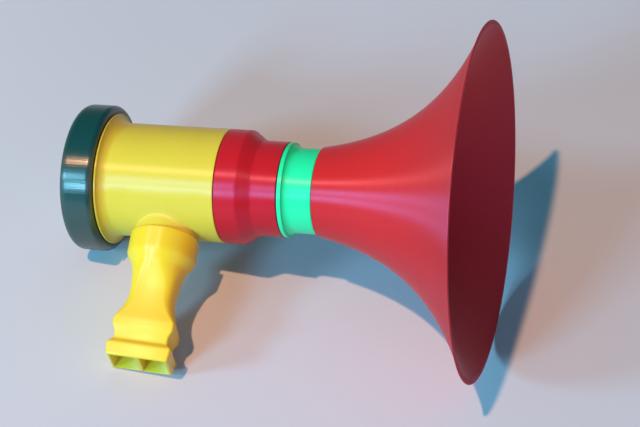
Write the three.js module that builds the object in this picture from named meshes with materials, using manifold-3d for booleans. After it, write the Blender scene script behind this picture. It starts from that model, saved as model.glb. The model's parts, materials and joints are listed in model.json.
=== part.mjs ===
// A membrane horn lying on a table. Breath enters the side mouthpiece, fills the space round an inner
// tube and makes a stretched membrane buzz on the tube's end, and the sound leaves through the bell.
// Millimetres. Along the horn's own axis x is 0 at the membrane's seat and grows towards the bell.
import * as THREE from 'three';
import { mergeVertices } from 'three/addons/utils/BufferGeometryUtils.js';
import Module from 'manifold-3d';

const wasm = await Module();
wasm.setup();

// Clearances
const seatGap = 0.3;
const pushGap = 0.3;
const threadGap = 0.5;
const overrun = 1;

// Inner tube, and the ring of air that it leaves inside the body
const tubeWall = 1.8;
const chamberWidth = 5.5;

// Membrane
const membraneThickness = 0.4;

// Body
const bodyRadius = 21;
const bodyWall = 2.2;
const headLength = 10;
const headRise = 1.9;
const flangeRise = 3.2;
const flangeThickness = 0.7;
const flangeFlareLength = 3.4;
const portInset = 33.9;
const portToEnd = 20.3;

// Side boss and the tenon that carries the mouthpiece
const bossRadius = 12.65;
const bossRise = 1.6;
const bossFillet = 2.6;
const filletSink = 0.15;
const tenonLength = 8.4;
const tenonWall = 2;

// Retaining ring
const ringWall = 3.8;
const ringLipThickness = 1.6;
const ringLipWidth = 5.8;
const ringEdgeRound = 3;
const ringChamferRise = 2.4;
const ringChamferLength = 1.2;

// Adapter
const plugLength = 12;
const adapterSleeveLength = 7.9;
const adapterConeLength = 4.8;
const adapterNeckLength = 9.5;
const adapterNeckWall = 3.8;
const webThickness = 2;

// Collar
const spigotWall = 1.9;
const spigotLength = 8;
const collarFlangeThickness = 1.6;
const collarFlareLength = 3.4;
const collarFlareRise = 1.8;
const collarNeckLength = 7.2;
const collarNeckWall = 2.2;

// Bell
const bellLength = 59.7;
const bellMouthRadius = 65;
const bellRimWidth = 1.8;
const bellThroatWall = 2.7;
const bellFlareRate = 2.43;

// Mouthpiece, along its own axis from the socket to the lip
const socketLength = 7.6;
const socketWall = 3.35;
const shoulderLength = 5.5;
const shoulderHalfWidth = 9.8;
const shoulderHalfDepth = 9.6;
const shoulderCorner = 7;
const waistLength = 10;
const waistHalfWidth = 8.1;
const waistHalfDepth = 7;
const waistCorner = 2.6;
const flareLength = 11.2;
const ridgeHalfWidth = 11.1;
const ridgeHalfDepth = 8;
const ridgeLength = 3.2;
const ridgeSlopeLength = 1.8;
const valleyLength = 3.2;
const valleyHalfWidth = 9.9;
const valleyHalfDepth = 6.6;
const lipStepLength = 1.5;
const lipLength = 5;
const lipHalfWidth = 11.8;
const lipHalfDepth = 8.5;
const lipTaper = 0.6;
const edgeRound = 0.9;

// Air channels in the mouthpiece
const channelWall = 1.2;
const septumThickness = 1.6;
const channelCorner = 0.6;
const channelRootReachShare = 0.86;
const channelRootDepthShare = 0.6;

// How far the mouthpiece is turned in its socket, in degrees
const mouthpieceTurn = -9;

// Counts of facets
const turnSteps = 64;
const bendSteps = 5;
const flareSteps = 14;
const bossSteps = 48;
const cornerSteps = 7;
const easeSteps = 6;

// Radii that follow from the sizes above
const boreRadius = bodyRadius - bodyWall;
const tubeRadius = boreRadius - chamberWidth;
const tubeBore = tubeRadius - tubeWall;
const headRadius = bodyRadius + headRise;
const flangeRadius = bodyRadius + flangeRise;
const ringBore = headRadius + threadGap;
const ringRadius = ringBore + ringWall;
const spigotRadius = tubeBore + spigotWall;
const socketRadius = spigotRadius + pushGap;
const adapterNeckRadius = socketRadius + adapterNeckWall;
const collarNeckRadius = spigotRadius + collarNeckWall;
const collarFlangeRadius = collarNeckRadius + collarFlareRise;
const bellThroatRadius = socketRadius + bellThroatWall;
const tenonRadius = bossRadius - socketWall - pushGap;
const tenonBore = tenonRadius - tenonWall;

// Places along the horn's axis
const flangeBack = headLength;
const flangeFront = flangeBack + flangeThickness;
const bodyEnd = portInset + portToEnd;
const membraneFront = -seatGap;
const membraneBack = membraneFront - membraneThickness;
const ringSeat = membraneBack - seatGap;
const ringBack = ringSeat - ringLipThickness;
const ringFront = flangeBack - seatGap;
const adapterShoulder = bodyEnd + seatGap;
const adapterConeStart = adapterShoulder + adapterSleeveLength;
const adapterNeckStart = adapterConeStart + adapterConeLength;
const adapterEnd = adapterNeckStart + adapterNeckLength;
const adapterSocketFloor = adapterEnd - spigotLength - seatGap;
const tubeSeat = adapterSocketFloor - webThickness;
const collarFace = adapterEnd + seatGap;
const collarFlangeFront = collarFace + collarFlangeThickness;
const collarNeckStart = collarFlangeFront + collarFlareLength;
const collarNeckEnd = collarNeckStart + collarNeckLength;
const bellStart = collarNeckEnd + seatGap;
const bellSocketFloor = bellStart + spigotLength + seatGap;
const bellMouth = bellStart + bellLength;

// Places along the mouthpiece's axis, from the horn's axis
const bossFace = bodyRadius + bossRise;
const tenonEnd = bossFace + tenonLength;
const mouthpieceTop = bossFace + seatGap;
const socketFloor = tenonEnd + seatGap;
const shoulderStart = mouthpieceTop + socketLength;
const shoulderEnd = shoulderStart + shoulderLength;
const waist = shoulderEnd + waistLength;
const ridgeStart = waist + flareLength;
const ridgeEnd = ridgeStart + ridgeLength;
const valleyStart = ridgeEnd + ridgeSlopeLength;
const valleyEnd = valleyStart + valleyLength;
const lipStart = valleyEnd + lipStepLength;
const lipEnd = lipStart + lipLength;

// Closes a geometry's seams, so that only shared positions are left.
function merged(geometry) {
  geometry.deleteAttribute('normal');
  geometry.deleteAttribute('uv');
  return mergeVertices(geometry);
}

function toSolid(geometry) {
  const mesh = merged(geometry);
  const index = mesh.index.array;
  const corners = [];
  for (let i = 0; i < index.length; i += 3) {
    const [a, b, c] = index.slice(i, i + 3);
    if (a !== b && b !== c && c !== a) corners.push(a, b, c);
  }
  const vertProperties = new Float32Array(mesh.attributes.position.array);
  const triVerts = new Uint32Array(corners);
  return new wasm.Manifold(new wasm.Mesh({ numProp: 3, vertProperties, triVerts }));
}

function toGeometry(solid) {
  const mesh = solid.getMesh();
  const geometry = new THREE.BufferGeometry();
  geometry.setAttribute('position', new THREE.BufferAttribute(mesh.vertProperties, 3));
  geometry.setIndex(new THREE.BufferAttribute(mesh.triVerts, 1));
  geometry.computeVertexNormals();
  return geometry;
}

function named(name, geometry, color, roughness) {
  const material = new THREE.MeshStandardMaterial({ color, roughness, metalness: 0 });
  const mesh = new THREE.Mesh(geometry, material);
  mesh.name = name;
  return mesh;
}

// Turns an outline of [x, radius] pairs round the horn's axis. It runs towards +x on the outside.
function turned(outline, steps = turnSteps) {
  const points = outline.map(([x, radius]) => new THREE.Vector2(radius, x));
  return new THREE.LatheGeometry(points, steps).rotateZ(-Math.PI / 2);
}

function closed(outline) {
  return [...outline, outline[0]];
}

// A quarter of an ellipse from one point to another, tangent to the lines through their corner.
function bend(from, corner, to, steps = bendSteps) {
  const points = [];
  for (let i = 0; i <= steps; i += 1) {
    const angle = (i / steps) * (Math.PI / 2);
    const near = 1 - Math.sin(angle);
    const far = 1 - Math.cos(angle);
    points.push(corner.map((c, k) => c + (from[k] - c) * near + (to[k] - c) * far));
  }
  return points;
}

// Skins a stack of rings of points, each counter-clockwise seen against the stack's direction.
function skinned(rings) {
  const count = rings[0].length;
  const points = rings.flat();
  const first = points.length;
  points.push(centreOf(rings[0]), centreOf(rings[rings.length - 1]));
  const index = [];
  for (let i = 0; i < count; i += 1) {
    const next = (i + 1) % count;
    for (let row = 0; row < rings.length - 1; row += 1) {
      const low = row * count;
      const high = low + count;
      index.push(low + i, low + next, high + next, low + i, high + next, high + i);
    }
    const last = (rings.length - 1) * count;
    index.push(first, next, i, first + 1, last + i, last + next);
  }
  const geometry = new THREE.BufferGeometry().setFromPoints(points);
  geometry.setIndex(index);
  return geometry;
}

function centreOf(ring) {
  const sum = new THREE.Vector3();
  ring.forEach((point) => sum.add(point));
  return sum.divideScalar(ring.length);
}

function cylinder(radius, from, to, steps) {
  return turned([[from, 0], [from, radius], [to, radius], [to, 0]], steps);
}

// Stands a shape made along x on the mouthpiece's axis, which leaves the horn's axis towards -y.
function onPortAxis(geometry) {
  return geometry.rotateZ(-Math.PI / 2).translate(portInset, 0, 0);
}

// Radius of the boss and height of its foot on the round body, all the way round.
function bossRing(radius, height) {
  const ring = [];
  for (let i = 0; i < bossSteps; i += 1) {
    const angle = (i / bossSteps) * 2 * Math.PI;
    const along = radius * Math.cos(angle);
    const across = radius * Math.sin(angle);
    ring.push(new THREE.Vector3(portInset + along, -height(across), across));
  }
  return ring;
}

function bodySurface(across) {
  return Math.sqrt(bodyRadius ** 2 - across ** 2);
}

// The fillet is a quarter ellipse that leaves the body's surface and ends along the boss's side.
function bossRings() {
  const rings = [bossRing(bossRadius + bossFillet, () => 0)];
  for (let i = 0; i <= bendSteps; i += 1) {
    const angle = (i / bendSteps) * (Math.PI / 2);
    const radius = bossRadius + bossFillet * (1 - Math.sin(angle));
    const climbShare = 1 - Math.cos(angle);
    const height = (across) => {
      const foot = bodySurface(across) - filletSink;
      return foot + (bossFace - foot) * climbShare;
    };
    rings.push(bossRing(radius, height));
  }
  rings.push(bossRing(tenonRadius, () => bossFace));
  rings.push(bossRing(tenonRadius, () => tenonEnd));
  return rings;
}

function body() {
  const outside = turned([
    [0, 0],
    [0, headRadius],
    [flangeBack, headRadius],
    [flangeBack, flangeRadius],
    ...bend(
      [flangeFront, flangeRadius],
      [flangeFront, bodyRadius],
      [flangeFront + flangeFlareLength, bodyRadius],
    ),
    [bodyEnd, bodyRadius],
    [bodyEnd, 0],
  ]);
  const bore = cylinder(boreRadius, -overrun, bodyEnd + overrun, turnSteps);
  const port = onPortAxis(cylinder(tenonBore, 0, tenonEnd + overrun, bossSteps));
  const solid = toSolid(outside)
    .add(toSolid(skinned(bossRings())))
    .subtract(toSolid(bore))
    .subtract(toSolid(port));
  return toGeometry(solid);
}

function retainingRing() {
  const opening = ringBore - ringLipWidth;
  return turned(closed([
    [ringBack, opening],
    ...bend(
      [ringBack, ringRadius - ringEdgeRound],
      [ringBack, ringRadius],
      [ringBack + ringEdgeRound, ringRadius],
    ),
    [ringFront - ringChamferLength, ringRadius],
    [ringFront, ringRadius - ringChamferRise],
    [ringFront, ringBore],
    [ringSeat, ringBore],
    [ringSeat, opening],
  ]));
}

function membrane() {
  return cylinder(ringBore - pushGap, membraneBack, membraneFront, turnSteps);
}

function innerTube() {
  return turned(closed([
    [0, tubeBore],
    [0, tubeRadius],
    [tubeSeat - seatGap, tubeRadius],
    [tubeSeat - seatGap, tubeBore],
  ]));
}

// A plug in the body's end, which grips the tube, steps down to a socket for the collar.
function adapter() {
  const tubeHole = tubeRadius + pushGap;
  return turned(closed([
    [bodyEnd - plugLength, tubeHole],
    [bodyEnd - plugLength, boreRadius - pushGap],
    [adapterShoulder, boreRadius - pushGap],
    [adapterShoulder, bodyRadius],
    [adapterConeStart, bodyRadius],
    [adapterNeckStart, adapterNeckRadius],
    [adapterEnd, adapterNeckRadius],
    [adapterEnd, socketRadius],
    [adapterSocketFloor, socketRadius],
    [adapterSocketFloor, tubeBore],
    [tubeSeat, tubeBore],
    [tubeSeat, tubeHole],
  ]));
}

function collar() {
  return turned(closed([
    [collarFace - spigotLength, tubeBore],
    [collarFace - spigotLength, spigotRadius],
    [collarFace, spigotRadius],
    [collarFace, collarFlangeRadius],
    ...bend(
      [collarFlangeFront, collarFlangeRadius],
      [collarFlangeFront, collarNeckRadius],
      [collarNeckStart, collarNeckRadius],
    ),
    [collarNeckEnd, collarNeckRadius],
    [collarNeckEnd, spigotRadius],
    [collarNeckEnd + spigotLength, spigotRadius],
    [collarNeckEnd + spigotLength, tubeBore],
  ]));
}

// The bell's outside grows as an exponential from its throat to its mouth.
function bellOutside(x) {
  const share = (x - bellStart) / bellLength;
  const growth = Math.expm1(bellFlareRate * share) / Math.expm1(bellFlareRate);
  return bellThroatRadius + (bellMouthRadius - bellThroatRadius) * growth;
}

// Inside, the wall thins from the collar's bore at the socket's floor to the rim's width.
function bellInside(x) {
  const toMouthShare = (bellMouth - x) / (bellMouth - bellSocketFloor);
  const throatThickness = bellOutside(bellSocketFloor) - tubeBore;
  const wall = bellRimWidth + (throatThickness - bellRimWidth) * toMouthShare ** 3;
  return bellOutside(x) - wall;
}

function bell() {
  const outside = [];
  const inside = [];
  for (let i = 0; i <= flareSteps; i += 1) {
    const x = bellStart + (bellLength * i) / flareSteps;
    outside.push([x, bellOutside(x)]);
    const back = bellMouth - ((bellMouth - bellSocketFloor) * i) / flareSteps;
    inside.push([back, bellInside(back)]);
  }
  return turned(closed([
    [bellStart, socketRadius],
    ...outside,
    ...inside,
    [bellSocketFloor, socketRadius],
  ]));
}

// One ring of a rounded rectangle, square to the mouthpiece's own +z axis.
function section(along, halfWidth, halfDepth, corner, centre = 0) {
  const ring = [];
  for (let quarter = 0; quarter < 4; quarter += 1) {
    const side = quarter === 0 || quarter === 3 ? 1 : -1;
    const front = quarter < 2 ? 1 : -1;
    for (let i = 0; i < cornerSteps; i += 1) {
      const angle = (quarter + (i + 0.5) / cornerSteps) * (Math.PI / 2);
      const x = side * (halfWidth - corner) + corner * Math.cos(angle);
      const y = front * (halfDepth - corner) + corner * Math.sin(angle);
      ring.push(new THREE.Vector3(centre + x, y, along));
    }
  }
  return ring;
}

// Sections between two stations, with the sizes eased by a curve of the share of the way.
function easedSections(from, to, ease) {
  const rings = [];
  for (let i = 1; i < easeSteps; i += 1) {
    const share = i / easeSteps;
    const sizes = from.map((value, k) => {
      const blend = k === 0 ? share : ease(share);
      return value + (to[k] - value) * blend;
    });
    rings.push(section(...sizes));
  }
  return rings;
}

// The outside goes from a round socket over a waist to a flat bite ridge, a valley and the lip.
function mouthpieceOutside() {
  const shoulder = [shoulderStart, bossRadius, bossRadius, bossRadius];
  const neck = [shoulderEnd, shoulderHalfWidth, shoulderHalfDepth, shoulderCorner];
  const narrow = [waist, waistHalfWidth, waistHalfDepth, waistCorner];
  const ridge = [ridgeStart, ridgeHalfWidth, ridgeHalfDepth, edgeRound];
  return skinned([
    section(mouthpieceTop, bossRadius, bossRadius, bossRadius),
    section(...shoulder),
    ...easedSections(shoulder, neck, (t) => t * t * (3 - 2 * t)),
    section(...neck),
    ...easedSections(neck, narrow, (t) => 1 - (1 - t) ** 2),
    section(...narrow),
    ...easedSections(narrow, ridge, (t) => t ** 2),
    section(...ridge),
    section(ridgeEnd, ridgeHalfWidth, ridgeHalfDepth, edgeRound),
    section(valleyStart, valleyHalfWidth, (ridgeHalfDepth + valleyHalfDepth) / 2, edgeRound),
    section(valleyEnd, valleyHalfWidth, valleyHalfDepth, edgeRound),
    section(lipStart, lipHalfWidth, lipHalfDepth, edgeRound),
    section(lipEnd, lipHalfWidth - lipTaper, lipHalfDepth - lipTaper, edgeRound),
  ]);
}

// One channel on either side of the septum, tapering from the lip to the socket's floor.
function channel(side) {
  const ring = (along, reach, halfDepth) => {
    const halfWidth = (reach - septumThickness / 2) / 2;
    const centre = side * (septumThickness / 2 + halfWidth);
    return section(along, halfWidth, halfDepth, channelCorner, centre);
  };
  const inLip = [lipHalfWidth - lipTaper - channelWall, lipHalfDepth - lipTaper - channelWall];
  const root = [tenonBore * channelRootReachShare, tenonBore * channelRootDepthShare];
  return skinned([
    ring(socketFloor - overrun, ...root),
    ring(socketFloor, ...root),
    ring(waist, waistHalfWidth - channelWall, waistHalfDepth - channelWall),
    ring(valleyEnd, valleyHalfWidth - channelWall, valleyHalfDepth - channelWall),
    ring(lipEnd, ...inLip),
    ring(lipEnd + overrun, ...inLip),
  ]);
}

function mouthpiece() {
  const socket = cylinder(tenonRadius + pushGap, mouthpieceTop - overrun, socketFloor, bossSteps);
  const solid = toSolid(mouthpieceOutside())
    .subtract(toSolid(socket.rotateY(-Math.PI / 2)))
    .subtract(toSolid(channel(1)))
    .subtract(toSolid(channel(-1)));
  return toGeometry(solid);
}

function mouthpieceOnHorn() {
  const port = new THREE.Group();
  const mesh = named('mouthpiece', mouthpiece(), 0xfcec5c, 0.35);
  mesh.rotation.z = THREE.MathUtils.degToRad(mouthpieceTurn);
  port.add(mesh);
  port.position.x = portInset;
  port.rotation.x = Math.PI / 2;
  return port;
}

function horn() {
  const group = new THREE.Group();
  group.add(
    named('retaining_ring', retainingRing(), 0x1f4742, 0.2),
    named('membrane', membrane(), 0xe8e2d2, 0.5),
    named('body', body(), 0xe1ce43, 0.35),
    named('inner_tube', innerTube(), 0xb8232d, 0.35),
    named('adapter', adapter(), 0xb8232d, 0.35),
    named('collar', collar(), 0x37f0a8, 0.35),
    named('bell', bell(), 0xc72d2b, 0.35),
    mouthpieceOnHorn(),
  );
  return group;
}

function pointsOf(group, name) {
  group.updateMatrixWorld(true);
  const mesh = group.getObjectByName(name);
  const position = mesh.geometry.attributes.position;
  const points = [];
  for (let i = 0; i < position.count; i += 1) {
    points.push(new THREE.Vector3().fromBufferAttribute(position, i).applyMatrix4(mesh.matrixWorld));
  }
  return points;
}

// The axis climbs towards the bell, because the bell's rim and the smaller ring share the table.
function restingPitch(group) {
  const slopes = pointsOf(group, 'retaining_ring').map((point) => {
    const radius = Math.hypot(point.y, point.z);
    return (bellMouthRadius - radius) / (bellMouth - point.x);
  });
  return Math.atan(Math.min(...slopes));
}

// The horn rolls about its axis until the first point of the mouthpiece meets the table.
function restingRoll(group, pitch) {
  const rolls = pointsOf(group, 'mouthpiece').map((point) => {
    const axisHeight = bellMouthRadius - (bellMouth - point.x) * Math.tan(pitch);
    const reach = Math.hypot(point.y, point.z);
    const leadAngle = Math.atan2(point.z, -point.y);
    return reach > axisHeight ? leadAngle + Math.asin(axisHeight / reach) : Math.PI / 2;
  });
  return Math.min(...rolls);
}

// Lies on the bell's rim, the ring and the mouthpiece, centred over the origin.
function lying(group) {
  const pitch = restingPitch(group);
  const roll = restingRoll(group, pitch);
  const table = new THREE.Group();
  group.rotation.x = roll;
  table.rotation.y = -pitch;
  table.add(group);
  table.updateMatrixWorld(true);
  const box = new THREE.Box3().setFromObject(table, true);
  const centre = box.getCenter(new THREE.Vector3());
  table.position.set(-centre.x, -centre.y, -box.min.z);
  return table;
}

export default lying(horn());
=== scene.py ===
"""Looks of a membrane horn of coloured printed plastic that lies on a pale table.

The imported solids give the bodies, the joints and the sizes. Every visible piece is made here
again with finer curves, rounded edges, screw threads and layered plastic, and rides on its body.
Pieces are made in the horn's own frame: x runs along the axis from the membrane's seat to the
bell, and the mouthpiece points towards -y. Lengths are metres.
"""

import json
import math

import bmesh
import bpy
import numpy as np
from bpy.props import FloatProperty, FloatVectorProperty, PointerProperty
from bpy.types import Operator, Panel, PropertyGroup
from mathutils import Matrix, Vector


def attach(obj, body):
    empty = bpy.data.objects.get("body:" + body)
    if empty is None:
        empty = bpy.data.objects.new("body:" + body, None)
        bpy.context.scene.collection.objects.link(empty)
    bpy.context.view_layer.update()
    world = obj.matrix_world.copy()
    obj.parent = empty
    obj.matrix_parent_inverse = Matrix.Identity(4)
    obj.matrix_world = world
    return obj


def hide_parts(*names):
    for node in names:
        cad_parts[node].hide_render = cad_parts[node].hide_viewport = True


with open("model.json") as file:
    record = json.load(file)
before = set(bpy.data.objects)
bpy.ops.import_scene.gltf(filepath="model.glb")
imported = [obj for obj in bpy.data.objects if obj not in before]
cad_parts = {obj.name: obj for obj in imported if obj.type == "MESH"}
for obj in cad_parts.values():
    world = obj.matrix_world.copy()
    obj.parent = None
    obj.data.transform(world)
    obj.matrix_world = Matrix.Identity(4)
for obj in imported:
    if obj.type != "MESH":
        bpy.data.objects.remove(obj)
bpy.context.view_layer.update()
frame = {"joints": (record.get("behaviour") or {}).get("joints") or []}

bl_info = {
    "name": "Membrane horn",
    "version": (1, 0, 0),
    "blender": (4, 5, 0),
    "location": "View3D > Sidebar > Horn",
    "description": "Builds the looks of a plastic membrane horn round its packed solids",
    "category": "Add Mesh",
}

MM = 0.001
FULL_TURN = 2 * math.pi
QUARTER_TURN = math.pi / 2

# How finely the shapes are cut up. THREAD_STEP and STEP_ROW_HEIGHT are millimetres.
TURN_STEPS = 192
FLARE_STEPS = 14
BELL_STEPS = 56
THREAD_STEP = 0.15
PATCH_STEPS = 62
PATCH_SHARES = (0.25, 0.5, 0.75, 1)
BORE_SHARES = (0.2, 0.4, 0.6, 0.8)
FILLET_STEPS = 10
SMALL_ROUND_STEPS = 4
LARGE_ROUND_STEPS = 12
CORNER_STEPS = 14
CHANNEL_CORNER_STEPS = 6
CHANNEL_ROWS = 30
CHANNEL_EDGE_STEPS = 5
WAIST_ROWS = 72
STEP_ROW_HEIGHT = 0.22
LIP_STEPS = 7

# A round below this size gets fewer steps.
LARGE_ROUND = MM
# Rows beside a round, which keep its shading off the flats.
SUPPORT_SHARE = 0.15
SUPPORT_LENGTH = 0.4 * MM
# How far a helping corner stands from its neighbour where a surface goes straight on.
LEAD = MM
# Round of the corners that another piece's edge sits in or on.
SEAT_ROUND = 0.1 * MM
SHARP_ANGLE = math.radians(38)

# Half the length of the square patch of the body's wall that the boss takes the place of.
PATCH_HALF_LENGTH = 17.4 * MM
PATCH_MARGIN = 0.001 * MM
SAME_RADIUS = 0.0001 * MM

# Threads, in places along the axis: the rows of the cut, in millimetres like THREAD_STEP, and
# the run-in and run-out.
HEAD_THREAD_CUT = (0.8, 9.5)
HEAD_THREAD_ENDS = ((0.3 * MM, 1.8 * MM), (8.0 * MM, 9.4 * MM))
RING_THREAD_CUT = (0.4, 8.8)
RING_THREAD_ENDS = ((0.6 * MM, 2.2 * MM), (7.6 * MM, 8.7 * MM))
THREAD_CREST_HALF = 0.35 * MM
THREAD_FOOT_HALF = 0.75 * MM
THREAD_WALL_MARGIN = 0.01 * MM


def joint_named(name):
    return next(joint for joint in frame["joints"] if joint["name"] == name)


def horn_placement():
    """Matrix from the horn's own frame to the table's, from where its joints are."""
    ring = joint_named("ring_turn")
    along = -Vector(ring["axis"]).normalized()
    back = -Vector(joint_named("mouthpiece_turn")["axis"]).normalized()
    up = along.cross(back)
    turn = Matrix((along, back, up)).transposed().to_4x4()
    return Matrix.Translation(ring["pos_m"]) @ turn


HORN = horn_placement()


def length(label, description, millimetres):
    return FloatProperty(
        name=label, description=description, default=millimetres * MM, min=0.0,
        unit="LENGTH", subtype="DISTANCE", precision=5,
    )


def colour(label, description, rgb):
    return FloatVectorProperty(
        name=label, description=description, default=rgb, size=3, min=0.0, max=1.0,
        subtype="COLOR",
    )


class HornSizes(PropertyGroup):
    """Sizes of the turned pieces along the horn's axis."""
    seat_gap: length("Seat gap", "Gap between pieces that rest on each other", 0.3)
    edge: length("Edge round", "Round of the printed edges", 0.3)
    body_radius: length("Body radius", "Outside of the round body", 21)
    body_wall: length("Body wall", "Thickness of the body's wall", 2.2)
    head_length: length("Head length", "Length of the body's threaded head", 10)
    thread_pitch: length("Thread pitch", "Advance of the ring in one turn", 3)
    thread_root: length("Thread root", "Radius between the head's threads", 22.2)
    thread_crest: length("Thread crest", "Radius over the head's threads", 23.1)
    flange_edge: length("Flange edge", "Round of the flange's edges", 0.2)
    flange_radius: length("Flange radius", "Radius of the body's flange", 24.2)
    flange_front: length("Flange front", "Place of the flange's front face", 10.7)
    flange_flare: length("Flange flare", "Length of the flare behind the flange", 3.4)
    body_end: length("Body end", "Place of the body's end towards the bell", 54.2)
    port_inset: length("Port inset", "Place of the mouthpiece's axis along the horn", 33.9)
    boss_radius: length("Boss radius", "Radius of the side boss", 11.0)
    boss_fillet: length("Boss fillet", "Width of the fillet at the boss's foot", 0.6)
    boss_face: length("Boss face", "Place of the boss's face along the port", 22.75)
    tenon_radius: length("Tenon radius", "Outside of the mouthpiece's tenon", 9)
    tenon_bore: length("Tenon bore", "Radius of the breath's way in", 7)
    tenon_end: length("Tenon end", "Place of the tenon's end along the port", 31)
    ring_bore: length("Ring bore", "Radius between the ring's threads", 23.4)
    ring_radius: length("Ring radius", "Outside of the retaining ring", 27.17)
    ring_window: length("Ring window", "Radius of the ring's opening", 17.6)
    ring_back: length("Ring back", "Thickness of ring and gaps behind the seat", 2.6)
    ring_lip: length("Ring lip", "Thickness of the ring's lip", 1.6)
    ring_front: length("Ring front", "Place of the ring's front face", 9.7)
    ring_back_round: length("Ring back round", "Round of the ring's edge away from the bell", 3.0)
    ring_front_length: length("Ring front length", "Length of the round towards the bell", 1.9)
    ring_front_height: length("Ring front height", "Height of the round towards the bell", 2.3)
    membrane_radius: length("Membrane radius", "Radius of the membrane", 23.1)
    membrane: length("Membrane", "Thickness of the membrane", 0.4)
    membrane_dent: length("Membrane dent", "How far the tube pushes the membrane's middle", 0.15)
    tube_radius: length("Tube radius", "Outside of the inner tube", 13.3)
    tube_bore: length("Tube bore", "Bore of the inner tube", 11.5)
    tube_end: length("Tube end", "Place of the inner tube's end towards the bell", 66.1)
    plug_radius: length("Plug radius", "Outside of the adapter's plug", 18.5)
    plug_length: length("Plug length", "Length of the adapter's plug", 12)
    adapter_wide: length("Adapter wide part", "Length of the adapter's wide part", 7.9)
    adapter_cone: length("Adapter cone", "Length of the adapter's cone", 4.8)
    adapter_bend: length("Adapter bend", "Round at both ends of the adapter's cone", 2)
    adapter_neck: length("Adapter neck", "Radius of the adapter's neck", 17.5)
    adapter_neck_length: length("Adapter neck length", "Length of the adapter's neck", 9.5)
    adapter_socket: length("Adapter socket", "Depth of the socket in the adapter's neck", 8.3)
    adapter_web: length("Adapter web", "Wall between the adapter's socket and the tube", 2)
    push_gap: length("Push gap", "Gap round pieces that push together", 0.3)
    spigot_radius: length("Spigot radius", "Outside of the collar's spigots", 13.4)
    spigot_length: length("Spigot length", "Length of the collar's spigots", 8)
    collar_face: length("Collar face", "Place of the collar's face towards the adapter", 77)
    collar_rim: length("Collar rim", "Thickness of the collar's flange", 1.6)
    collar_flare: length("Collar flare", "Length of the flare behind the flange", 3.4)
    collar_neck_length: length("Collar neck length", "Length of the collar's neck", 7.2)
    collar_neck: length("Collar neck", "Radius of the collar's neck", 15.6)
    collar_flange: length("Collar flange", "Radius of the collar's flange", 17.4)


class BellSizes(PropertyGroup):
    """Sizes of the bell, along the horn's axis."""
    start: length("Start", "Place of the bell's narrow end", 89.5)
    mouth: length("Mouth", "Place of the bell's mouth", 149.2)
    throat_radius: length("Throat radius", "Outside of the bell's narrow end", 16.4)
    mouth_radius: length("Mouth radius", "Outside of the bell's mouth", 64.98)
    rim_width: length("Rim width", "Width of the rim's face", 1.8)
    rim_reach: length("Rim reach", "Height that the rim's round takes off its edge", 1.0)
    rim_edge: length("Rim edge", "Round of the rim's outer edge", 0.2)
    rim_inner_edge: length("Rim inner edge", "Round of the rim's inner edge", 0.5)
    socket_floor: length("Socket floor", "Place of the socket's floor", 97.8)
    flare_rate: FloatProperty(
        name="Flare rate", description="Steepness of the bell's exponential flare",
        default=2.43, min=0.1, max=6.0,
    )


class MouthpieceSizes(PropertyGroup):
    """Sizes of the mouthpiece, along its own axis from the horn's axis."""
    top: length("Top", "Place of the socket's rim", 22.82)
    socket_radius: length("Socket radius", "Bore of the socket", 9.3)
    rim_radius: length("Rim radius", "Outside of the socket", 12.65)
    socket_floor: length("Socket floor", "Place of the socket's floor", 31.3)
    shoulder: length("Shoulder", "Place where the round socket ends", 30.5)
    septum: length("Septum", "Wall between the two channels", 1.6)
    lip_edge: length("Lip edge", "Round of the lip's outer edge", 1.0)
    mouth_edge: length("Mouth edge", "Round of the channels' edges", 0.35)
    soften: length("Softening", "How far the steps melt into each other", 0.65)
    turn: FloatProperty(
        name="Turn", description="How far the mouthpiece is turned on its tenon",
        default=math.radians(-9), unit="ROTATION", subtype="ANGLE",
    )


class HornColours(PropertyGroup):
    """Colours of the printed plastics and of the stage."""
    ring: colour("Ring", "Near-black teal plastic", (0.006, 0.048, 0.045))
    membrane: colour("Membrane", "Thin pale elastic sheet", (0.75, 0.69, 0.56))
    body: colour("Body", "Greenish yellow plastic", (0.71, 0.545, 0.047))
    mouthpiece: colour("Mouthpiece", "Warm yellow plastic", (0.86, 0.60, 0.024))
    adapter: colour("Adapter", "Crimson plastic", (0.54, 0.010, 0.014))
    collar: colour("Collar", "Spring green plastic", (0.020, 0.78, 0.34))
    bell: colour("Bell", "Red plastic", (0.60, 0.019, 0.015))
    floor: colour("Floor", "Pale table", (0.605, 0.625, 0.72))
    sky: colour("Sky", "Pale surroundings", (0.14, 0.82, 1.0))


def rounded(corners, closed=True):
    """Points of an outline of (x, radius, round) corners, each bent to an arc of its round."""
    points = []
    last = len(corners) - 1
    for k, (x, radius, bend) in enumerate(corners):
        here = Vector((x, radius))
        if bend == 0 or (not closed and k in (0, last)):
            points.append(here)
            continue
        before = Vector(corners[k - 1][:2]) - here
        after = Vector(corners[0 if k == last else k + 1][:2]) - here
        half = before.angle(after) / 2
        reach = bend / math.tan(half)
        start = before.normalized()
        end = after.normalized()
        centre = here + (start + end).normalized() * bend / math.sin(half)
        sweep = math.pi - 2 * half
        sign = math.copysign(1, start.cross(end))
        steps = SMALL_ROUND_STEPS if bend < LARGE_ROUND else LARGE_ROUND_STEPS
        first = here + start * reach - centre
        points.append(here + start * (reach + support(before.length - reach)))
        for i in range(steps + 1):
            points.append(centre + Matrix.Rotation(-sign * sweep * i / steps, 2) @ first)
        points.append(here + end * (reach + support(after.length - reach)))
    return points


def support(room):
    return min(SUPPORT_LENGTH, SUPPORT_SHARE * room)


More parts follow.
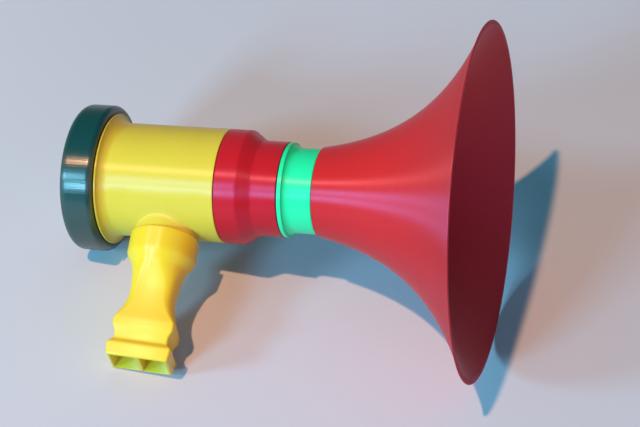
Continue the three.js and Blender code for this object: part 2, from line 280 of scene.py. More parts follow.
def flare(start, corner, end):
    """Inner corners of a quarter ellipse from start to end, tangent to the lines to corner."""
    corners = []
    for i in range(1, FLARE_STEPS):
        angle = i / FLARE_STEPS * QUARTER_TURN
        near, far = 1 - math.sin(angle), 1 - math.cos(angle)
        x, radius = (c + (s - c) * near + (e - c) * far for s, c, e in zip(start, corner, end))
        corners.append((x, radius, 0))
    return corners


def smooth_step(low, high, value):
    share = np.clip((value - low) / (high - low), 0, 1)
    return share * share * (3 - 2 * share)


class Net:
    """Vertices and faces of one piece, gathered row by row."""

    def __init__(self):
        self.points = []
        self.faces = []

    def add_row(self, positions):
        first = len(self.points)
        self.points.extend(map(tuple, positions))
        return np.arange(first, len(self.points))

    def band(self, low, high, ring=True):
        """Faces between two rows of equal count."""
        count = len(low)
        for i in range(count if ring else count - 1):
            k = (i + 1) % count
            self.faces.append((low[i], low[k], high[k], high[i]))

    def fan(self, row, tip):
        index = self.add_row([tip])[0]
        for i in range(len(row)):
            self.faces.append((row[i], row[(i + 1) % len(row)], index))

    def mesh(self, name):
        mesh = bpy.data.meshes.new(name)
        mesh.from_pydata(self.points, [], [tuple(map(int, face)) for face in self.faces])
        return mesh


def turned_rows(outline, shape=None, first_angle=0.0):
    """Positions of an outline turned round the x axis, one row of steps for each point."""
    x = np.array([point[0] for point in outline])[:, None]
    radius = np.array([point[1] for point in outline])[:, None]
    angle = first_angle + FULL_TURN * np.arange(TURN_STEPS)[None, :] / TURN_STEPS
    if shape:
        radius = shape(x, radius, angle)
    radius = radius + 0 * angle
    x = x + 0 * angle
    return np.stack([x, -radius * np.cos(angle), radius * np.sin(angle)], axis=2)


def turned_net(outline, closed=True, shape=None):
    """A turned piece; an open outline starts and ends on the axis."""
    net = Net()
    inner = outline if closed else outline[1:-1]
    rows = [net.add_row(row) for row in turned_rows(inner, shape=shape)]
    for low, high in zip(rows, rows[1:]):
        net.band(low, high)
    if closed:
        net.band(rows[-1], rows[0])
    else:
        net.fan(rows[0], (outline[0][0], 0.0, 0.0))
        net.fan(rows[-1], (outline[-1][0], 0.0, 0.0))
    return net


def thread_share(x, angle, pitch, offset):
    """How much of the thread's height a place has; crests are half a pitch from the roots."""
    phase = np.mod(x / pitch - angle / FULL_TURN + offset, 1.0)
    from_crest = np.abs(phase - 0.5) * pitch
    return 1 - smooth_step(THREAD_CREST_HALF, THREAD_FOOT_HALF, from_crest)


def threaded(sizes, wall, offset, ends, height):
    """A shape that raises a thread from the wall of one radius; a negative height goes inwards."""
    run_in, run_out = ends

    def shape(x, radius, angle):
        share = thread_share(x, angle, sizes.thread_pitch, offset)
        fade = smooth_step(*run_in, x) * (1 - smooth_step(*run_out, x))
        on_wall = np.abs(radius - wall) < THREAD_WALL_MARGIN
        return radius + height * share * fade * on_wall

    return shape


def place_piece(name, mesh, placement):
    """Puts a mesh of the horn's own frame on the table, smooth but for its sharp edges."""
    work = bmesh.new()
    work.from_mesh(mesh)
    bmesh.ops.recalc_face_normals(work, faces=work.faces)
    work.to_mesh(mesh)
    work.free()
    mesh.transform(placement)
    mesh.shade_smooth()
    mesh.set_sharp_from_angle(angle=SHARP_ANGLE)
    piece = bpy.data.objects.new(name, mesh)
    bpy.context.scene.collection.objects.link(piece)
    return piece


class Finish:
    """A material's nodes, added one at a time."""

    def __init__(self, name):
        self.material = bpy.data.materials.new(name)
        self.material.use_nodes = True
        self.tree = self.material.node_tree
        self.shader = self.tree.nodes["Principled BSDF"]

    def node(self, kind, inputs=(), **settings):
        node = self.tree.nodes.new(kind)
        for key, value in settings.items():
            setattr(node, key, value)
        for key, value in dict(inputs).items():
            self.feed(node.inputs[key], value)
        return node

    def feed(self, socket, value):
        if isinstance(value, bpy.types.NodeSocket):
            self.tree.links.new(value, socket)
        else:
            socket.default_value = value

    def math(self, operation, *values):
        node = self.node("ShaderNodeMath", operation=operation)
        for socket, value in zip(node.inputs, values):
            self.feed(socket, value)
        return node.outputs[0]

    def shade_base(self, base, shade):
        """Gives the shader a base colour times a shade."""
        tint = self.node("ShaderNodeMix", {
            "Factor": 1.0, "A": (*base, 1.0), "B": shade,
        }, data_type="RGBA", blend_type="MULTIPLY")
        self.feed(self.shader.inputs["Base Color"], tint.outputs["Result"])

    def own_place(self, placement, stretch=(1, 1, 1)):
        """Coordinates in the piece's own frame, stretched along its axes."""
        place = self.node("ShaderNodeTexCoord")
        back = self.node("ShaderNodeMapping", {
            "Vector": place.outputs["Object"],
            "Location": placement.translation,
            "Rotation": placement.to_euler(),
        }, vector_type="TEXTURE")
        scaled = self.node("ShaderNodeMapping", {
            "Vector": back.outputs[0], "Scale": stretch,
        }, vector_type="POINT")
        return scaled.outputs[0]

    def noise(self, vector, scale, detail=2.0, roughness=0.5):
        node = self.node("ShaderNodeTexNoise", {
            "Vector": vector, "Scale": scale, "Detail": detail, "Roughness": roughness,
        })
        return node.outputs[0]


# The printed plastic: layers, streaks along them and clouds over the whole piece.
LAYER_HEIGHT = 0.2 * MM
# Radians that a wave texture of scale 1 runs through in one unit.
WAVE_RADIANS = 20
LAYER_WAVE_SHARE = 0.4
LAYER_DEPTH = 0.02 * MM
STREAK_STRETCH = 0.03
STREAK_NOISE = (900.0, 3.0, 0.65)
BROAD_STREAK_NOISE = (160.0, 2.0, 0.5)
CLOUD_NOISE = (60.0, 2.0, 0.5)
CLOUD_SHADE = 0.06
BRUSH_SCALE = 1600.0
ROUGHNESS_SPREAD = 0.12
FULLY_INSIDE = 0.25
# The layers' axis leans a little to this side, because a flat end that looks straight along it
# would leave the reflection's stretch without a direction.
LEAN_SIDE = Vector((0.6, 0.6, 0.5))
LEAN_SHARE = 0.02


def printed_plastic(name, base, placement, layers="X", gloss=0.42, grooves=0.95, layer_bump=0.15,
                    streaks=0.04, shine=1.5, glint=(1, 1, 1), brushed=0.0, dull_inside=0.0):
    """Semi-gloss plastic laid down in thin layers square to one axis.

    gloss is the roughness, grooves how much the layers stretch a reflection along the axis,
    shine the refraction and glint the tint of a reflection seen head-on. brushed adds fine lines
    along the axis, and dull_inside roughness on the faces that look along it.
    """
    finish = Finish(name)
    along = (1, 0, 0) if layers == "X" else (0, 0, 1)
    axis = placement.to_3x3() @ Vector(along).lerp(LEAN_SIDE, LEAN_SHARE)
    groove = finish.node("ShaderNodeVectorTransform", {"Vector": axis},
                         vector_type="VECTOR", convert_from="OBJECT", convert_to="WORLD")
    finish.feed(finish.shader.inputs["Tangent"], groove.outputs[0])
    finish.shader.inputs["Anisotropic"].default_value = grooves
    own = finish.own_place(placement)
    layered = finish.own_place(placement, tuple(1 if a else STREAK_STRETCH for a in along))
    wave = finish.node("ShaderNodeTexWave", {
        "Vector": own, "Scale": FULL_TURN / (WAVE_RADIANS * LAYER_HEIGHT),
    }, wave_type="BANDS", bands_direction=layers, wave_profile="SIN")
    streak = finish.noise(layered, *STREAK_NOISE)
    broad_streak = finish.math("SUBTRACT", finish.noise(layered, *BROAD_STREAK_NOISE), 0.5)
    cloud = finish.math("SUBTRACT", finish.noise(own, *CLOUD_NOISE), 0.5)
    shade = finish.math("MULTIPLY_ADD", streak, streaks, 1 - streaks / 2)
    shade = finish.math("MULTIPLY_ADD", broad_streak, streaks, shade)
    shade = finish.math("MULTIPLY_ADD", cloud, CLOUD_SHADE, shade)
    finish.shade_base(base, shade)
    rough = finish.math("MULTIPLY_ADD", streak, ROUGHNESS_SPREAD, gloss - ROUGHNESS_SPREAD / 2)
    if dull_inside:
        facing = finish.node("ShaderNodeVectorMath", operation="DOT_PRODUCT")
        finish.feed(facing.inputs[0], finish.node("ShaderNodeTexCoord").outputs["Normal"])
        finish.feed(facing.inputs[1], placement.to_3x3() @ Vector(along))
        inside = finish.math("MAXIMUM", facing.outputs["Value"], 0.0)
        inside = finish.math("MINIMUM", inside, FULLY_INSIDE)
        rough = finish.math("MULTIPLY_ADD", inside, dull_inside / FULLY_INSIDE, rough)
    finish.feed(finish.shader.inputs["Roughness"], rough)
    layer_wave = finish.math("MULTIPLY", wave.outputs["Fac"], LAYER_WAVE_SHARE)
    height = finish.math("ADD", layer_wave, streak)
    if brushed:
        lengthwise = finish.own_place(placement, tuple(STREAK_STRETCH if a else 1 for a in along))
        lines = finish.noise(lengthwise, BRUSH_SCALE)
        height = finish.math("MULTIPLY_ADD", lines, brushed, height)
    bump = finish.node("ShaderNodeBump", {
        "Strength": layer_bump, "Distance": LAYER_DEPTH, "Height": height,
    })
    finish.feed(finish.shader.inputs["Normal"], bump.outputs[0])
    finish.shader.inputs["IOR"].default_value = shine
    finish.shader.inputs["Specular Tint"].default_value = (*glint, 1)
    return finish.material


def build_ring(sizes, colours):
    edge = sizes.edge
    seat = -(sizes.ring_back - sizes.ring_lip)
    back = -sizes.ring_back
    front, bore, radius = sizes.ring_front, sizes.ring_bore, sizes.ring_radius
    round_start = (front - sizes.ring_front_length, radius)
    round_end = (front, radius - sizes.ring_front_height)
    low, high = RING_THREAD_CUT
    thread = [(x * MM, bore, 0) for x in np.arange(high, low, -THREAD_STEP)]
    outline = rounded([
        (back, sizes.ring_window, 2 * edge),
        (back, radius, sizes.ring_back_round),
        (*round_start, 0),
        *flare(round_start, (front, radius), round_end),
        (*round_end, 0),
        (front, bore, edge),
        *thread,
        (seat, bore, edge / 2),
        (seat, sizes.ring_window, edge),
    ])
    depth = sizes.thread_crest - sizes.thread_root
    shape = threaded(sizes, bore, 0.5, RING_THREAD_ENDS, -depth)
    mesh = turned_net(outline, shape=shape).mesh("retaining_ring_shell")
    piece = place_piece("retaining_ring_shell", mesh, HORN)
    piece.data.materials.append(printed_plastic(
        "ring_plastic_layers", colours.ring, HORN, gloss=0.32, grooves=0.94, layer_bump=0.3,
        streaks=0.2, shine=1.8, brushed=4.0,
    ))
    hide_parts("retaining_ring")
    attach(piece, "screw_ring")


# The membrane: the bends where it is clamped and dented, and its clouds.
MEMBRANE_BEND = MM
MEMBRANE_NOISE = (220.0, 4.0, 0.6)
MEMBRANE_SHADE = 0.14
MEMBRANE_RELIEF = 0.03 * MM


def build_membrane(sizes, colours):
    front = -sizes.seat_gap
    back = front - sizes.membrane
    dent = sizes.membrane_dent
    radius, tube = sizes.membrane_radius, sizes.tube_radius
    clamp = sizes.body_radius - sizes.body_wall
    outline = rounded([
        (back - dent, 0, 0),
        (back - dent, tube, MEMBRANE_BEND),
        (back, clamp, MEMBRANE_BEND),
        (back, radius, SEAT_ROUND),
        (front, radius, SEAT_ROUND),
        (front, clamp, MEMBRANE_BEND),
        (front - dent, tube, MEMBRANE_BEND),
        (front - dent, 0, 0),
    ], closed=False)
    mesh = turned_net(outline, closed=False).mesh("membrane_sheet")
    piece = place_piece("membrane_sheet", mesh, HORN)
    finish = Finish("membrane_rubber_sheet")
    cloud = finish.noise(finish.own_place(HORN), *MEMBRANE_NOISE)
    shade = finish.math("MULTIPLY_ADD", cloud, MEMBRANE_SHADE, 1 - MEMBRANE_SHADE / 2)
    finish.shade_base(colours.membrane, shade)
    finish.feed(finish.shader.inputs["Roughness"], finish.math("MULTIPLY_ADD", cloud, 0.2, 0.42))
    bump = finish.node("ShaderNodeBump", {
        "Strength": 0.2, "Distance": MEMBRANE_RELIEF, "Height": cloud,
    })
    finish.feed(finish.shader.inputs["Normal"], bump.outputs[0])
    piece.data.materials.append(finish.material)
    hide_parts("membrane")
    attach(piece, "membrane_disc")


def body_outline(sizes, bore):
    """The body's wall from the bore's head end out over the head and flange and back inside."""
    edge = sizes.edge
    root, radius, end = sizes.thread_root, sizes.body_radius, sizes.body_end
    head, front = sizes.head_length, sizes.flange_front
    along = np.linspace(-PATCH_HALF_LENGTH, PATCH_HALF_LENGTH, PATCH_STEPS + 1) + sizes.port_inset
    flare_end = front + sizes.flange_flare
    thread = [(x * MM, root, 0) for x in np.arange(*HEAD_THREAD_CUT, THREAD_STEP)]
    rise = flare((front, sizes.flange_radius), (front, radius), (flare_end, radius))
    return rounded([
        (0, bore, edge),
        (0, root, edge),
        *thread,
        (head, root, 0),
        (head, sizes.flange_radius, sizes.flange_edge),
        (front, sizes.flange_radius, sizes.flange_edge),
        *rise,
        (flare_end, radius, 0),
        *[(x, radius, 0) for x in along],
        (end, radius, edge),
        (end, bore, edge),
        *[(x, bore, 0) for x in along[::-1]],
    ])


def patch_border(rows, outline, radius, sizes):
    """Indices round the square patch of the wall that the boss takes the place of."""
    reach = PATCH_HALF_LENGTH + PATCH_MARGIN
    found = [k for k, (x, r) in enumerate(outline)
             if abs(r - radius) < SAME_RADIUS and abs(x - sizes.port_inset) < reach]
    found.sort(key=lambda k: outline[k][0])
    last = PATCH_STEPS
    border = [rows[found[0]][c] for c in range(last)]
    border += [rows[found[j]][last] for j in range(last)]
    border += [rows[found[last]][c] for c in range(last, 0, -1)]
    border += [rows[found[j]][0] for j in range(last, 0, -1)]
    return found, np.array(border)


def boss_rows(sizes, border, bore):
    """Rows of points from the wall's patch up the boss, over the tenon and down its bore."""
    edge = sizes.edge
    wall = sizes.body_radius
    port = sizes.port_inset
    outer = border[0]
    inner = border[1]
    spin = np.arctan2(outer[:, 1], outer[:, 0])
    unit = np.stack([np.cos(spin), np.sin(spin)], axis=1)

    def on_wall(plan, radius):
        height = np.sqrt(radius ** 2 - plan[:, 1] ** 2)
        return np.stack([port + plan[:, 0], -height, plan[:, 1]], axis=1)

    def at(radius, height):
        plan = unit * radius
        return np.stack([port + plan[:, 0], -(height + 0 * spin), plan[:, 1]], axis=1)

    foot_radius = sizes.boss_radius + sizes.boss_fillet
    rows = [on_wall(outer * (1 - t) + unit * foot_radius * t, wall) for t in PATCH_SHARES]
    top = sizes.boss_face - edge
    for i in range(1, FILLET_STEPS + 1):
        angle = i / FILLET_STEPS * QUARTER_TURN
        radius = sizes.boss_radius + sizes.boss_fillet * (1 - math.sin(angle))
        foot = np.sqrt(wall ** 2 - (unit[:, 1] * radius) ** 2)
        rows.append(at(radius, foot + (top - foot) * (1 - math.cos(angle))))
    path = rounded([
        (top - LEAD, sizes.boss_radius, 0),
        (sizes.boss_face, sizes.boss_radius, edge),
        (sizes.boss_face, sizes.tenon_radius, edge),
        (sizes.tenon_end, sizes.tenon_radius, 1.4 * edge),
        (sizes.tenon_end, sizes.tenon_bore, edge),
        (bore + LEAD, sizes.tenon_bore, 0),
    ], closed=False)
    rows += [at(point[1], point[0]) for point in path[2:]]
    rows += [on_wall(unit * sizes.tenon_bore, bore)]
    rows += [on_wall(unit * sizes.tenon_bore * (1 - t) + inner * t, bore) for t in BORE_SHARES]
    return rows


def build_body(sizes, colours):
    bore = sizes.body_radius - sizes.body_wall
    outline = body_outline(sizes, bore)
    depth = sizes.thread_crest - sizes.thread_root
    shape = threaded(sizes, sizes.thread_root, 0.0, HEAD_THREAD_ENDS, depth)
    net = Net()
    first_angle = -FULL_TURN * PATCH_STEPS / 2 / TURN_STEPS
    rows = [net.add_row(row) for row in turned_rows(outline, shape=shape, first_angle=first_angle)]
    outer_rows, outer_border = patch_border(rows, outline, sizes.body_radius, sizes)
    inner_rows, inner_border = patch_border(rows, outline, bore, sizes)
    patched = set(outer_rows[:-1]) | set(inner_rows[1:])
    for k in range(len(rows)):
        low, high = rows[k], rows[(k + 1) % len(rows)]
        if k in patched:
            low, high = (np.append(row[PATCH_STEPS:], row[0]) for row in (low, high))
        net.band(low, high, ring=k not in patched)
    points = np.array(net.points)
    plans = [points[border][:, [0, 2]] - (sizes.port_inset, 0)
             for border in (outer_border, inner_border)]
    climb = [net.add_row(row) for row in boss_rows(sizes, plans, bore)]
    for low, high in zip([outer_border, *climb], [*climb, inner_border]):
        net.band(low, high)
    piece = place_piece("body_shell", net.mesh("body_shell"), HORN)
    piece.data.materials.append(printed_plastic(
        "body_plastic_layers", colours.body, HORN, streaks=0.03, shine=1.6, glint=(1, 0.85, 1),
    ))
    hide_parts("body")
    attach(piece, "horn_body")


def build_inner_tube(sizes, colours):
    edge, end = sizes.edge, sizes.tube_end
    outline = rounded([
        (0, sizes.tube_bore, edge), (0, sizes.tube_radius, 2 * edge),
        (end, sizes.tube_radius, edge), (end, sizes.tube_bore, edge),
    ])
    piece = place_piece("inner_tube_wall", turned_net(outline).mesh("inner_tube_wall"), HORN)
    piece.data.materials.append(printed_plastic("inner_tube_layers", colours.adapter, HORN))
    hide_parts("inner_tube")
    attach(piece, "tuning_slide")


def build_adapter(sizes, colours):
    edge = sizes.edge
    plug = sizes.body_end - sizes.plug_length
    shoulder = sizes.body_end + sizes.seat_gap
    cone = shoulder + sizes.adapter_wide
    neck = cone + sizes.adapter_cone
    end = neck + sizes.adapter_neck_length
    floor = end - sizes.adapter_socket
    web = floor - sizes.adapter_web
    bend = sizes.adapter_bend
    hole = sizes.tube_radius + sizes.push_gap
    socket = sizes.spigot_radius + sizes.push_gap
    outline = rounded([
        (plug, hole, edge), (plug, sizes.plug_radius, 2 * edge),
        (shoulder, sizes.plug_radius, SEAT_ROUND), (shoulder, sizes.body_radius, edge),
        (cone, sizes.body_radius, bend), (neck, sizes.adapter_neck, bend),
        (end, sizes.adapter_neck, edge), (end, socket, edge),
        (floor, socket, SEAT_ROUND), (floor, sizes.tube_bore, edge),
        (web, sizes.tube_bore, edge), (web, hole, SEAT_ROUND),
    ])
    piece = place_piece("adapter_sleeve", turned_net(outline).mesh("adapter_sleeve"), HORN)
    piece.data.materials.append(printed_plastic(
        "red_plastic_layers", colours.adapter, HORN, shine=1.6, glint=(1, 0.5, 1),
    ))
    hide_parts("adapter")
    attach(piece, "tuning_slide")


def build_collar(sizes, colours):
    edge = sizes.edge
    face, spigot_length = sizes.collar_face, sizes.spigot_length
    flange_front = face + sizes.collar_rim
    neck_start = flange_front + sizes.collar_flare
    neck_end = neck_start + sizes.collar_neck_length
    bore, spigot, neck = sizes.tube_bore, sizes.spigot_radius, sizes.collar_neck
    rise = flare((flange_front, sizes.collar_flange), (flange_front, neck), (neck_start, neck))
    outline = rounded([
        (face - spigot_length, bore, edge), (face - spigot_length, spigot, 2 * edge),
        (face, spigot, SEAT_ROUND), (face, sizes.collar_flange, edge),
        (flange_front, sizes.collar_flange, edge), *rise[1:], (neck_start, neck, 0),
        (neck_end, neck, edge), (neck_end, spigot, SEAT_ROUND),
        (neck_end + spigot_length, spigot, 2 * edge), (neck_end + spigot_length, bore, edge),
    ])
    piece = place_piece("collar_band", turned_net(outline).mesh("collar_band"), HORN)
    piece.data.materials.append(printed_plastic(
        "collar_plastic_layers", colours.collar, HORN, shine=1.42,
    ))
    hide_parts("collar")
    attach(piece, "collar_ring")


def build_bell(sizes, bell, colours):
    edge = sizes.edge
    socket = sizes.spigot_radius + sizes.push_gap

    def outside(x):
        share = (x - bell.start) / (bell.mouth - bell.start)
        growth = math.expm1(bell.flare_rate * share) / math.expm1(bell.flare_rate)
        return bell.throat_radius + (bell.mouth_radius - bell.throat_radius) * growth

    throat_wall = outside(bell.socket_floor) - sizes.tube_bore

    def inside(x):
        share = (bell.mouth - x) / (bell.mouth - bell.socket_floor)
        return outside(x) - bell.rim_width - (throat_wall - bell.rim_width) * share ** 3

    out_places = np.linspace(bell.start, bell.mouth, BELL_STEPS + 1)
    in_places = np.linspace(bell.mouth, bell.socket_floor, BELL_STEPS + 1)
    outline = rounded([
        (bell.start, socket, edge),
        (bell.start, bell.throat_radius, edge),
        *[(x, outside(x), 0) for x in out_places[1:-1]],
        (bell.mouth, bell.mouth_radius + bell.rim_reach, bell.rim_edge),
        (bell.mouth, inside(bell.mouth), bell.rim_inner_edge),
        *[(x, inside(x), 0) for x in in_places[1:-1]],
        (bell.socket_floor, sizes.tube_bore, edge),
        (bell.socket_floor, socket, SEAT_ROUND),
    ])
    piece = place_piece("bell_flare", turned_net(outline).mesh("bell_flare"), HORN)
    piece.data.materials.append(printed_plastic(
        "bell_plastic_layers", colours.bell, HORN, gloss=0.43, grooves=1.0,
        shine=1.7, glint=(1, 0.5, 1), dull_inside=0.5,
    ))
    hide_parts("bell")
    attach(piece, "bell_cone")


def section(half_width, half_depth, corner, steps=CORNER_STEPS, centre=0.0):
    """Plan points of a rounded rectangle, counter-clockwise."""
    points = []
    for quarter in range(4):
        side = 1 if quarter in (0, 3) else -1
        front = 1 if quarter < 2 else -1
        for i in range(steps):
            angle = (quarter + (i + 0.5) / steps) * QUARTER_TURN
            points.append((
                centre + side * (half_width - corner) + corner * math.cos(angle),
                front * (half_depth - corner) + corner * math.sin(angle),
            ))
    return np.array(points)


def standing(plan, height):
    return np.column_stack([plan, np.full(len(plan), height)])


# Stations of the mouthpiece's outside: place, half width, half depth, corner and, for the way
# to the next station, the ease. Lengths are millimetres from the horn's axis.
STATIONS = (
    (30.5, 12.65, 12.65, 12.65, "both"),
    (36.0, 9.8, 9.6, 8.8, "out"),
    (46.0, 8.1, 6.8, 3.6, "in"),
    (57.2, 11.1, 8.1, 0.9, "line"),
    (60.4, 11.1, 8.0, 0.9, "line"),
    (62.2, 9.9, 7.3, 0.9, "line"),
    (65.4, 9.9, 6.6, 0.9, "line"),
    (66.9, 11.8, 8.5, 0.9, "line"),
    (71.9, 11.2, 7.9, 0.9, "line"),
)
EASES = {
    "both": lambda t: t * t * (3 - 2 * t),
    "out": lambda t: 1 - (1 - t) ** 2,
    "in": lambda t: t * t,
    "line": lambda t: t,
}
# Stations of one channel: place, reach from the middle and half depth, in millimetres.
CHANNEL = ((31.3, 6.02, 4.2), (46.0, 6.9, 5.8), (65.4, 8.7, 5.4), (71.9, 10.0, 6.7))
CHANNEL_CORNER = 0.6
# The rows over the waist start inside the round part and end before the lip's steps, in
# millimetres too.
SHOULDER_LEAD = 1.5
WAIST_END = 57
STEPS_START = 57.2
# How many softenings either way an average reaches, and how many places it takes in.
SOFTEN_REACH = 2
SOFTEN_SAMPLES = 17


def outside_sizes(place):
    """Half width, half depth and corner of the mouthpiece at a place, in millimetres."""
    if place <= STATIONS[0][0]:
        return np.array(STATIONS[0][1:4])
    for low, high in zip(STATIONS, STATIONS[1:]):
        if place <= high[0]:
            share = EASES[low[4]]((place - low[0]) / (high[0] - low[0]))
            return np.array(low[1:4]) * (1 - share) + np.array(high[1:4]) * share
    return np.array(STATIONS[-1][1:4])


def softened_sizes(place, soften):
    """The same sizes, averaged over a short way so that the steps melt into each other."""
    spread = np.linspace(-SOFTEN_REACH, SOFTEN_REACH, SOFTEN_SAMPLES)
    weights = np.exp(-spread ** 2 / 2)
    sizes = np.array([outside_sizes(place + step * soften) for step in spread])
    return (sizes * weights[:, None]).sum(0) / weights.sum()


def channel_rows(net, mouth, side):
    """A channel's wall from the lip's face to the socket's floor."""
    places, reaches, depths = zip(*CHANNEL)
    end = places[-1]
    edge = mouth.mouth_edge / MM
    half_septum = mouth.septum / MM / 2
    bends = np.linspace(0, QUARTER_TURN, CHANNEL_EDGE_STEPS)
    widened = [(end - edge * (1 - math.cos(a)), edge * (1 - math.sin(a))) for a in bends]
    plain = [(place, 0.0) for place in np.linspace(end - edge, places[0], CHANNEL_ROWS)[1:]]
    rows = []
    for place, extra in widened + plain:
        half = (np.interp(place, places, reaches) - half_septum) / 2
        depth = np.interp(place, places, depths)
        plan = section(half + extra, depth + extra, CHANNEL_CORNER + extra, CHANNEL_CORNER_STEPS,
                       side * (half_septum + half))
        rows.append(net.add_row(standing(plan * MM, place * MM)))
    for low, high in zip(rows, rows[1:]):
        net.band(low, high)
    return rows[0], rows[-1]


def loop_edges(work, row):
    work.verts.ensure_lookup_table()
    corners = [work.verts[int(k)] for k in row]
    return [work.edges.get((a, b)) or work.edges.new((a, b))
            for a, b in zip(corners, corners[1:] + corners[:1])]


def build_mouthpiece(sizes, mouth, colours):
    net = Net()
    top, floor = mouth.top, mouth.socket_floor
    socket = section(mouth.socket_radius, mouth.socket_radius, mouth.socket_radius)
    unit = socket / mouth.socket_radius
    rim = rounded([
        (floor, mouth.socket_radius, 0), (top, mouth.socket_radius, 1.5 * sizes.edge),
        (top, mouth.rim_radius, 1.5 * sizes.edge), (mouth.shoulder, mouth.rim_radius, 0),
    ], closed=False)
    rows = [net.add_row(standing(unit * radius, place)) for place, radius in rim[:-1]]
    end = STATIONS[-1][0]
    edge = mouth.lip_edge / MM
    places = np.concatenate([
        np.linspace(mouth.shoulder / MM - SHOULDER_LEAD, WAIST_END, WAIST_ROWS),
        np.arange(STEPS_START, end - edge, STEP_ROW_HEIGHT),
    ])
    for place in places:
        plan = section(*softened_sizes(place, mouth.soften / MM))
        rows.append(net.add_row(standing(plan * MM, place * MM)))
    wide = softened_sizes(end, mouth.soften / MM)
    for angle in np.linspace(0, QUARTER_TURN, LIP_STEPS):
        inset = edge * (1 - math.cos(angle))
        plan = section(*(wide - inset))
        rows.append(net.add_row(standing(plan * MM, (end - edge + edge * math.sin(angle)) * MM)))
    for low, high in zip(rows, rows[1:]):
        net.band(low, high)
    channels = [channel_rows(net, mouth, side) for side in (1, -1)]
    mesh = net.mesh("mouthpiece_shell")
    work = bmesh.new()
    work.from_mesh(mesh)
    for outer, inner in ((rows[-1], 0), (rows[0], 1)):
        edges = loop_edges(work, outer)
        for channel in channels:
            edges += loop_edges(work, channel[inner])
        bmesh.ops.triangle_fill(work, use_beauty=True, edges=edges)
    work.to_mesh(mesh)
    work.free()
    placement = (
        HORN @ Matrix.Translation((sizes.port_inset, 0, 0))
        @ Matrix.Rotation(QUARTER_TURN, 4, "X") @ Matrix.Rotation(mouth.turn, 4, "Z")
    )
    piece = place_piece("mouthpiece_shell", mesh, placement)
    piece.data.materials.append(printed_plastic(
        "mouthpiece_plastic_layers", colours.mouthpiece, placement, layers="Z", gloss=0.39,
        grooves=0.92, layer_bump=0.05, streaks=0.02, shine=1.55, glint=(1, 0.85, 1),
    ))
    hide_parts("mouthpiece")
    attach(piece, "blow_piece")


LAMP_TARGET = Vector((0, 0, 0.04))
WINDOW_TINT = (0.27, 0.73, 1.0)
# Name, direction from the horn, distance, size, power and tint of each lamp.
LAMPS = (
    ("warm_lamp", (-0.264, -0.405, 0.876), 2.4, (0.06, 0.06), 46.0, (1.0, 0.53, 0.29)),
    ("right_fill", (0.80, -0.45, 0.40), 2.4, (1.2, 0.8), 4.5, (1.0, 0.38, 0.95)),
    ("left_window", (-0.710, -0.596, 0.400), 2.2, (0.38, 0.24), 26.0, WINDOW_TINT),
    ("right_window", (-0.385, -0.845, 0.375), 2.2, (0.40, 0.38), 34.0, WINDOW_TINT),
)
SKY_STRENGTH = 0.22
TABLE_HALF = 4.0
TABLE_NOISE = (3.0, 3.0, 0.5)
TABLE_SHADE = 0.06
TABLE_ROUGHNESS = 0.7
CAMERA_PLACE = (0.06914, -0.50434, 0.56592)
CAMERA_RIGHT = Vector((0.9671, 0.2282, 0.1128))
CAMERA_UP = Vector((-0.242, 0.687, 0.6851))
SENSOR_WIDTH = 36.0
FOCAL_LENGTH = 112.5


def area_lamp(name, direction, distance, size, power, tint):
    """A soft lamp that looks at the horn's middle."""
    toward = Vector(direction).normalized()
    lamp = bpy.data.lights.new(name, "AREA")
    lamp.shape = "RECTANGLE"
    lamp.size, lamp.size_y = size
    lamp.energy = power
    lamp.color = tint
    holder = bpy.data.objects.new(name, lamp)
    holder.location = LAMP_TARGET + toward * distance
    holder.rotation_mode = "QUATERNION"
    holder.rotation_quaternion = toward.to_track_quat("Z", "Y")
    bpy.context.scene.collection.objects.link(holder)


def build_floor(colours):
    mesh = bpy.data.meshes.new("table_top")
    half = TABLE_HALF
    corners = [(-half, -half, 0), (half, -half, 0), (half, half, 0), (-half, half, 0)]
    mesh.from_pydata(corners, [], [(0, 1, 2, 3)])
    floor = bpy.data.objects.new("table_top", mesh)
    bpy.context.scene.collection.objects.link(floor)
    finish = Finish("pale_table")
    place = finish.node("ShaderNodeTexCoord").outputs["Object"]
    cloud = finish.noise(place, *TABLE_NOISE)
    shade = finish.math("MULTIPLY_ADD", cloud, TABLE_SHADE, 1 - TABLE_SHADE / 2)
    finish.shade_base(colours.floor, shade)
    finish.shader.inputs["Roughness"].default_value = TABLE_ROUGHNESS
    floor.data.materials.append(finish.material)


def build_world(colours):
    world = bpy.data.worlds.new("pale_room")
    bpy.context.scene.world = world
    world.use_nodes = True
    room = world.node_tree.nodes["Background"]
    room.inputs["Color"].default_value = (*colours.sky, 1)
    room.inputs["Strength"].default_value = SKY_STRENGTH


def build_camera():
    camera = bpy.data.objects.new("view", bpy.data.cameras.new("view"))
    back = CAMERA_RIGHT.cross(CAMERA_UP)
    turn = Matrix((CAMERA_RIGHT, CAMERA_UP, back)).transposed().to_4x4()
    camera.matrix_world = Matrix.Translation(CAMERA_PLACE) @ turn
    camera.data.sensor_width = SENSOR_WIDTH
    camera.data.lens = FOCAL_LENGTH
    bpy.context.scene.collection.objects.link(camera)
    bpy.context.scene.camera = camera


class HORN_OT_ring(Operator):
    """Builds the retaining ring with its inner thread"""
    bl_idname = "horn.add_ring"
    bl_label = "Retaining ring"

    def execute(self, context):
        build_ring(context.scene.horn_sizes, context.scene.horn_colours)
        return {"FINISHED"}


class HORN_OT_membrane(Operator):
    """Builds the membrane stretched over the inner tube"""
    bl_idname = "horn.add_membrane"
    bl_label = "Membrane"

    def execute(self, context):
        build_membrane(context.scene.horn_sizes, context.scene.horn_colours)
        return {"FINISHED"}


class HORN_OT_body(Operator):
    """Builds the body with its threaded head, side boss and tenon"""
    bl_idname = "horn.add_body"
    bl_label = "Body"

    def execute(self, context):
        build_body(context.scene.horn_sizes, context.scene.horn_colours)
        return {"FINISHED"}


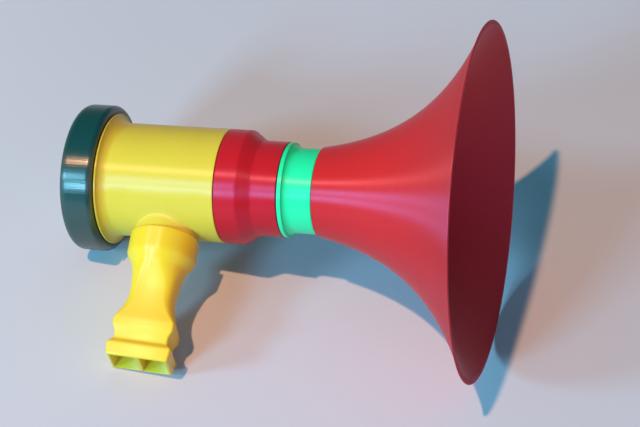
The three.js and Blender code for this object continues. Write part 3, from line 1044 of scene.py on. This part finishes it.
class HORN_OT_tubes(Operator):
    """Builds the inner tube, the adapter and the collar"""
    bl_idname = "horn.add_tubes"
    bl_label = "Tube, adapter and collar"

    def execute(self, context):
        build_inner_tube(context.scene.horn_sizes, context.scene.horn_colours)
        build_adapter(context.scene.horn_sizes, context.scene.horn_colours)
        build_collar(context.scene.horn_sizes, context.scene.horn_colours)
        return {"FINISHED"}


class HORN_OT_bell(Operator):
    """Builds the flared bell"""
    bl_idname = "horn.add_bell"
    bl_label = "Bell"

    def execute(self, context):
        scene = context.scene
        build_bell(scene.horn_sizes, scene.horn_bell, scene.horn_colours)
        return {"FINISHED"}


class HORN_OT_mouthpiece(Operator):
    """Builds the mouthpiece with its two breath channels"""
    bl_idname = "horn.add_mouthpiece"
    bl_label = "Mouthpiece"

    def execute(self, context):
        scene = context.scene
        build_mouthpiece(scene.horn_sizes, scene.horn_mouthpiece, scene.horn_colours)
        return {"FINISHED"}


class HORN_OT_stage(Operator):
    """Sets up the pale table, the lamps, the surroundings and the camera"""
    bl_idname = "horn.add_stage"
    bl_label = "Stage"

    def execute(self, context):
        colours = context.scene.horn_colours
        context.scene.view_settings.view_transform = "Standard"
        build_floor(colours)
        build_world(colours)
        for lamp in LAMPS:
            area_lamp(*lamp)
        build_camera()
        return {"FINISHED"}


class HORN_PT_panel(Panel):
    """Lists the horn's pieces and its stage"""
    bl_label = "Membrane horn"
    bl_idname = "HORN_PT_panel"
    bl_space_type = "VIEW_3D"
    bl_region_type = "UI"
    bl_category = "Horn"

    def draw(self, context):
        for operator in OPERATORS:
            self.layout.operator(operator.bl_idname)


OPERATORS = (
    HORN_OT_stage, HORN_OT_ring, HORN_OT_membrane, HORN_OT_body, HORN_OT_tubes, HORN_OT_bell,
    HORN_OT_mouthpiece,
)
GROUPS = {
    "horn_sizes": HornSizes,
    "horn_bell": BellSizes,
    "horn_mouthpiece": MouthpieceSizes,
    "horn_colours": HornColours,
}


def register():
    for kind in (*GROUPS.values(), *OPERATORS, HORN_PT_panel):
        bpy.utils.register_class(kind)
    for name, group in GROUPS.items():
        setattr(bpy.types.Scene, name, PointerProperty(type=group))


def unregister():
    for name in GROUPS:
        delattr(bpy.types.Scene, name)
    for kind in (HORN_PT_panel, *OPERATORS, *GROUPS.values()):
        bpy.utils.unregister_class(kind)


def plain(bounds):
    return [list(map(float, corner)) for corner in bounds]


def main():
    register()
    bpy.ops.horn.add_stage()
    bpy.ops.horn.add_ring()
    bpy.ops.horn.add_membrane()
    bpy.ops.horn.add_body()
    bpy.ops.horn.add_tubes()
    bpy.ops.horn.add_bell()
    bpy.ops.horn.add_mouthpiece()


if __name__ == "__main__":
    main()
